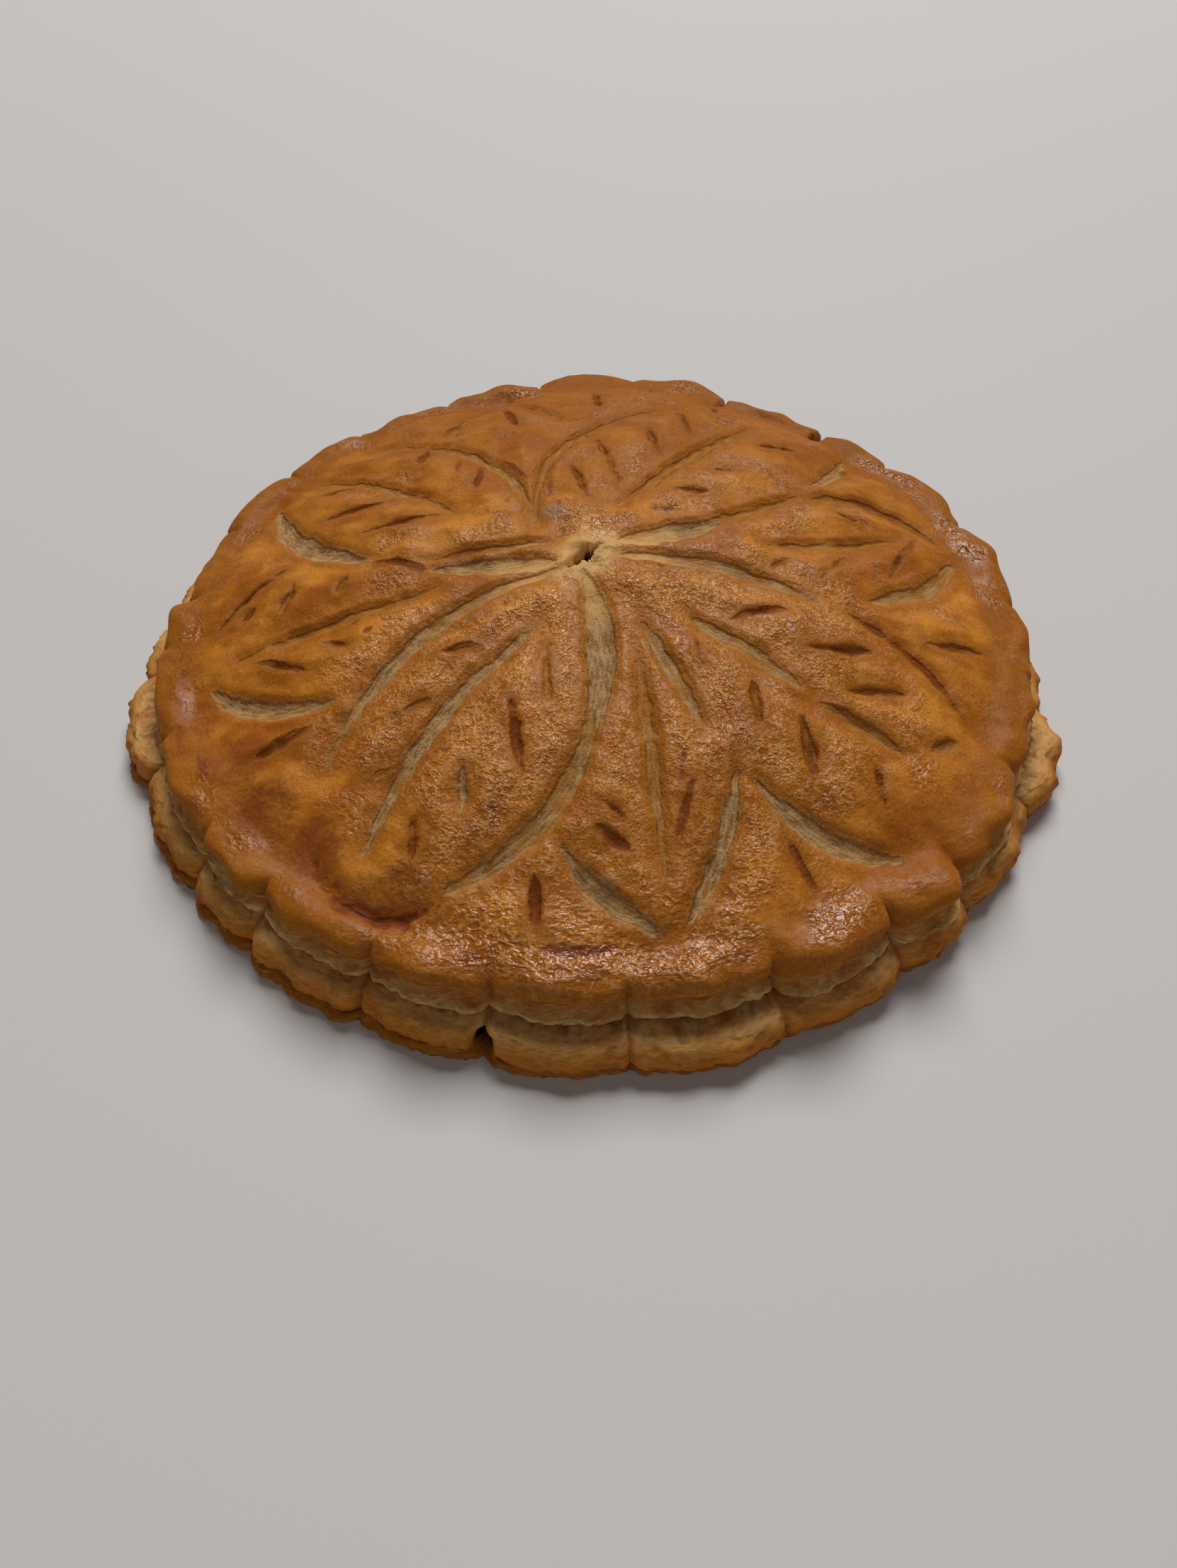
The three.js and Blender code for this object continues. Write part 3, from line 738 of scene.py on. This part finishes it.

# The glaze: gold and brown in broad patches, amber on the banks of the cuts and the rim's roll; on the
# banks the amber is partly the glaze's own colour and partly painted shade down into the cuts. It has
# crinkled in the oven into fine crests with ruddy pits between them: a painted highlight lies along the
# crests, and the pits are a redder glaze darkened partly as painted shade. Pale specks all over are painted
# glints. In a coat, the limits say where the noise lets it through, and the factor how much of it shows
# there.
wide_crests = crests(0.40, 2)
fine_crests = crests(0.95, 2, Distortion=0.4)
wrinkles = crests(0.80, 2, vector=stretched(round_rim, (0.3, 0.3, 1.0)), unit=1.0)
fine_crests = fine_crests + (wrinkles - fine_crests) * by_the_rim
crumple = (wide_crests * 0.6 + fine_crests * 0.4).between(0.68, 1.0)
crumpled = (crinkled + rim_mask * 0.15 + patches * 1.6 - 0.95).between(0, 0.6)
crumpled = crumpled * (1 - bank * 0.8) * (1 - roll * 0.7)
glaze = coated((broad * 0.6 + patches * 0.8).between(0.58, 0.86).colour(GOLD, BROWN), [
    (noise(0.06, 4).between(0.46, 0.64) * 0.95, RUDDY),
    (crinkled * 0.3, GOLD),
    ((mottle * 0.6 + patches * 0.9).between(0.80, 1.05) * 0.5, BURNT),
    # amber on the banks: partly the glaze's own colour, partly painted shade down into the cuts
    (bank * 0.75, AMBER),
    (rim_mask * (0.5 + patches * 0.6), RUST),
    (far_side * 0.8, RUST),
    (roll * 0.6, AMBER),
    # ruddy pits between the crests: a redder glaze, darkened partly as painted shade
    (crumple.between(0.35, 0.05) * crumpled * 0.6, RUDDY),
    # painted highlight along the crests of the crinkled glaze
    (crumple.between(0.60, 1.0) * crumpled * (0.2 + 0.4 * crinkled), PAINTED_GLINT),
    (grain.between(0.42, 0.70) * (0.30 + 0.20 * crinkled), BURNT),
    # painted glints: fine pale specks over the whole glaze
    (noise(1.1, 3).between(0.52, 0.74) * 0.16, PAINTED_GLINT),
    ((attribute("stain") + ragged_edge * 0.6).between(0.25, 0.9) * 0.85, BURNT_SUGAR),
])

# The cuts' floors: pale pastry drawn out in strands, darker where the glaze ran in and burnt, and
# creamy round the vent
along_the_cut = attribute("cut_along") * STRAND_STRETCH
strand_sockets = {0: along_the_cut, 1: attribute("cut_across"), 2: tone * STRAND_CHANGE}
strands = noise(1.3, 4, glazed.node("ShaderNodeCombineXYZ", {}, strand_sockets), 1.0)
floor_mask = (outside + ragged_edge * 2.0).between(*CUT_FLOOR_EDGE)
cut_floor = coated(PALE, [
    ((strands * 0.9 + grain * 0.5).between(0.60, 0.86) * 0.85, FLECK),
    ((tone + strands * 0.8 + patches * 0.8 - 0.70).between(0.10, 0.60), RIND),
    ((tone + strands * 0.9 - 0.45).between(0.36, 0.86), BURNT),
    ((vent + wobble * 12.0).between(*VENT_CREAM) * 0.8, CREAM),
])

# The sheets' edges: the glaze ends where the top sheet turns under, then flaky layers
lamination = noise(1.0, 4, stretched(round_rim, (0.12, 0.12, 1.0)), 1.0)
flaky = noise(0.9, 4, stretched(round_rim, (0.5, 0.5, 0.6)), 1.0)
crumbs = noise(1.6, 3, stretched(round_rim, (0.3, 0.3, 1.2)), 1.0)
section = (layers + (lamination - 0.5) * 1.2 + (flaky - 0.5) * 2.0) * (1 / LAST_CORNER)
side_stops = [(corner / LAST_CORNER, colour) for corner, colour in SIDE_COLOURS]
side = coated(glazed.node("ShaderNodeValToRGB", {"stops": side_stops}, {"Fac": section}), [
    ((lamination * 0.6 + mottle * 0.6).between(0.60, 0.78) * 0.45, FLECK),
    (patches.between(0.50, 0.66) * 0.5, RUDDY),
])
side_mask = (layers + wobble * 0.8).between(*SIDE_START)
# Painted shade in the notches where the knife pressed in between the lobes
notch_shade = (attribute("notch_distance") + ragged_edge * 1.2).between(*NOTCH_SHADE) * layers.between(*NOTCH_SHADE_START)

# All of it together: the torn vent with a painted shadow down its hole, the blisters, painted shade in the
# notches between lobes, and a painted shadow in the tear
colour = coated(glaze, [
    (floor_mask, cut_floor),
    ((vent + wobble * 9.0 + ragged_edge * 3.0).between(*VENT_TORN) * 0.9, CREAM),
    # painted shadow down the vent's hole
    ((vent + ragged_edge * 1.2).between(*VENT_SHADOW), PAINTED_SHADOW),
    (attribute("blister").between(0.1, 0.7) * 0.75, BLISTER_SKIN),
    (side_mask, side),
    # painted shade in the notches between lobes
    (notch_shade * 0.55, BURNT),
    (crumbs.between(0.50, 0.72) * side_mask * 0.45, FLECK),
    (crumbs.between(0.46, 0.30) * side_mask * 0.35, CREAM),
    # painted shadow in the tear's hollow
    (attribute("tear").between(0.2, 0.7), PAINTED_SHADOW),
])

# The relief too fine for the mesh: crinkled glaze, wrinkles round the rim, strands and layers
in_wall = layers.between(*WALL_TOP) * layers.between(*WALL_FOOT)
relief = crumple * (0.15 + 0.75 * crumpled) * (1 - side_mask) * CRUMPLE_RELIEF
relief = relief + noise(0.4, 1.5) * LUMP_RELIEF + grain * GRAIN_RELIEF
relief = relief + outside.between(*CUT_FLOOR_STEP) * CUT_FLOOR_RELIEF
relief = relief + strands * floor_mask * STRAND_RELIEF
relief = relief + (lamination + flaky) * LAYER_RELIEF * side_mask * (0.3 + 0.7 * in_wall)
bump = glazed.node("ShaderNodeBump", {}, {"Height": relief, "Distance": MM, "Strength": 1.0})

# Bare pastry is dull and glazed pastry shines, most where the glaze has crinkled
edge = layers.between(*GLAZE_END) * (1 - layers.between(*BASE_GLAZE) * 0.4)
bare_share = 1 - (1 - edge) * (1 - floor_mask * 0.8) * (0.3 + crumpled * 0.7) * (1 - far_side * 0.5)
roughness = GLAZE_ROUGHNESS - crumpled * CRUMPLE_GLOSS

bare = glazed.node("ShaderNodeBsdfPrincipled", {}, {
    "Base Color": colour, "Normal": bump, "Roughness": BARE_ROUGHNESS, "Specular IOR Level": BARE_SHINE,
})
surface = glazed.node("ShaderNodeMixShader", {}, {0: bare_share, 1: glazed, 2: bare})
glazed_shader.inputs["Specular IOR Level"].default_value = GLAZE_SHINE
tree = pastry.node_tree
tree.links.new(colour.socket, glazed_shader.inputs["Base Color"])
tree.links.new(bump.socket, glazed_shader.inputs["Normal"])
tree.links.new(roughness.socket, glazed_shader.inputs["Roughness"])
tree.links.new(surface.socket, tree.nodes["Material Output"].inputs["Surface"])
cake_mesh.materials.append(pastry)
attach(cake, "root")
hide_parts("galette")

# The floor
# A plain pale floor, painted matt and wide enough to fill the view. The cake's flat underside
# lies on it.
FLOOR_SIZE = 6.0
FLOOR_COLOUR = (0.78, 0.755, 0.735)
FLOOR_ROUGHNESS = 0.6
FLOOR_SHINE = 0.2

shape = bmesh.new()
bmesh.ops.create_grid(shape, x_segments=1, y_segments=1, size=FLOOR_SIZE / 2)
floor_mesh = bpy.data.meshes.new("floor")
shape.to_mesh(floor_mesh)
shape.free()
floor_paint, floor_shader = new_material("floor_paint")
floor_shader.inputs["Base Color"].default_value = (*FLOOR_COLOUR, 1)
floor_shader.inputs["Roughness"].default_value = FLOOR_ROUGHNESS
floor_shader.inputs["Specular IOR Level"].default_value = FLOOR_SHINE
floor_mesh.materials.append(floor_paint)
floor = bpy.data.objects.new("floor", floor_mesh)
scene.collection.objects.link(floor)

# The light
# A broad soft lamp high over the floor, behind the cake and a little to the right. The room's near
# wall throws its light back, the ceiling does so less, and the wall behind the cake is dim.
LAMP_PLACE = Vector((0.4, 3.3, 4.0))
LAMP_SIZE = 2.6
LAMP_POWER = 209.0
LIT_WALL_COLOUR = (0.24, 0.231, 0.222)
DIM_WALL_COLOUR = (0.02, 0.02, 0.02)
DIM_WALL_SIDE = (0, 1, -0.1)
DIM_TO_LIT = (0.2, -1.0)

lamp_data = bpy.data.lights.new("lamp", "AREA")
lamp_data.shape = "SQUARE"
lamp_data.size = LAMP_SIZE
lamp_data.energy = LAMP_POWER
lamp = bpy.data.objects.new("lamp", lamp_data)
lamp.matrix_world = Matrix.Translation(LAMP_PLACE) @ LAMP_PLACE.to_track_quat("Z", "Y").to_matrix().to_4x4()
scene.collection.objects.link(lamp)
room = bpy.data.worlds.new("room")
room.use_nodes = True
background = room.node_tree.nodes["Background"]
air = Shade(background.outputs[0])
direction = air.node("ShaderNodeTexCoord", {}, {}, "Generated")
facing_back = air.node(
    "ShaderNodeVectorMath", {"operation": "DOT_PRODUCT"}, {0: direction, 1: DIM_WALL_SIDE}, "Value"
)
walls = facing_back.between(*DIM_TO_LIT).colour(DIM_WALL_COLOUR, LIT_WALL_COLOUR)
room.node_tree.links.new(walls.socket, background.inputs["Color"])
scene.world = room
scene.view_settings.view_transform = "Standard"
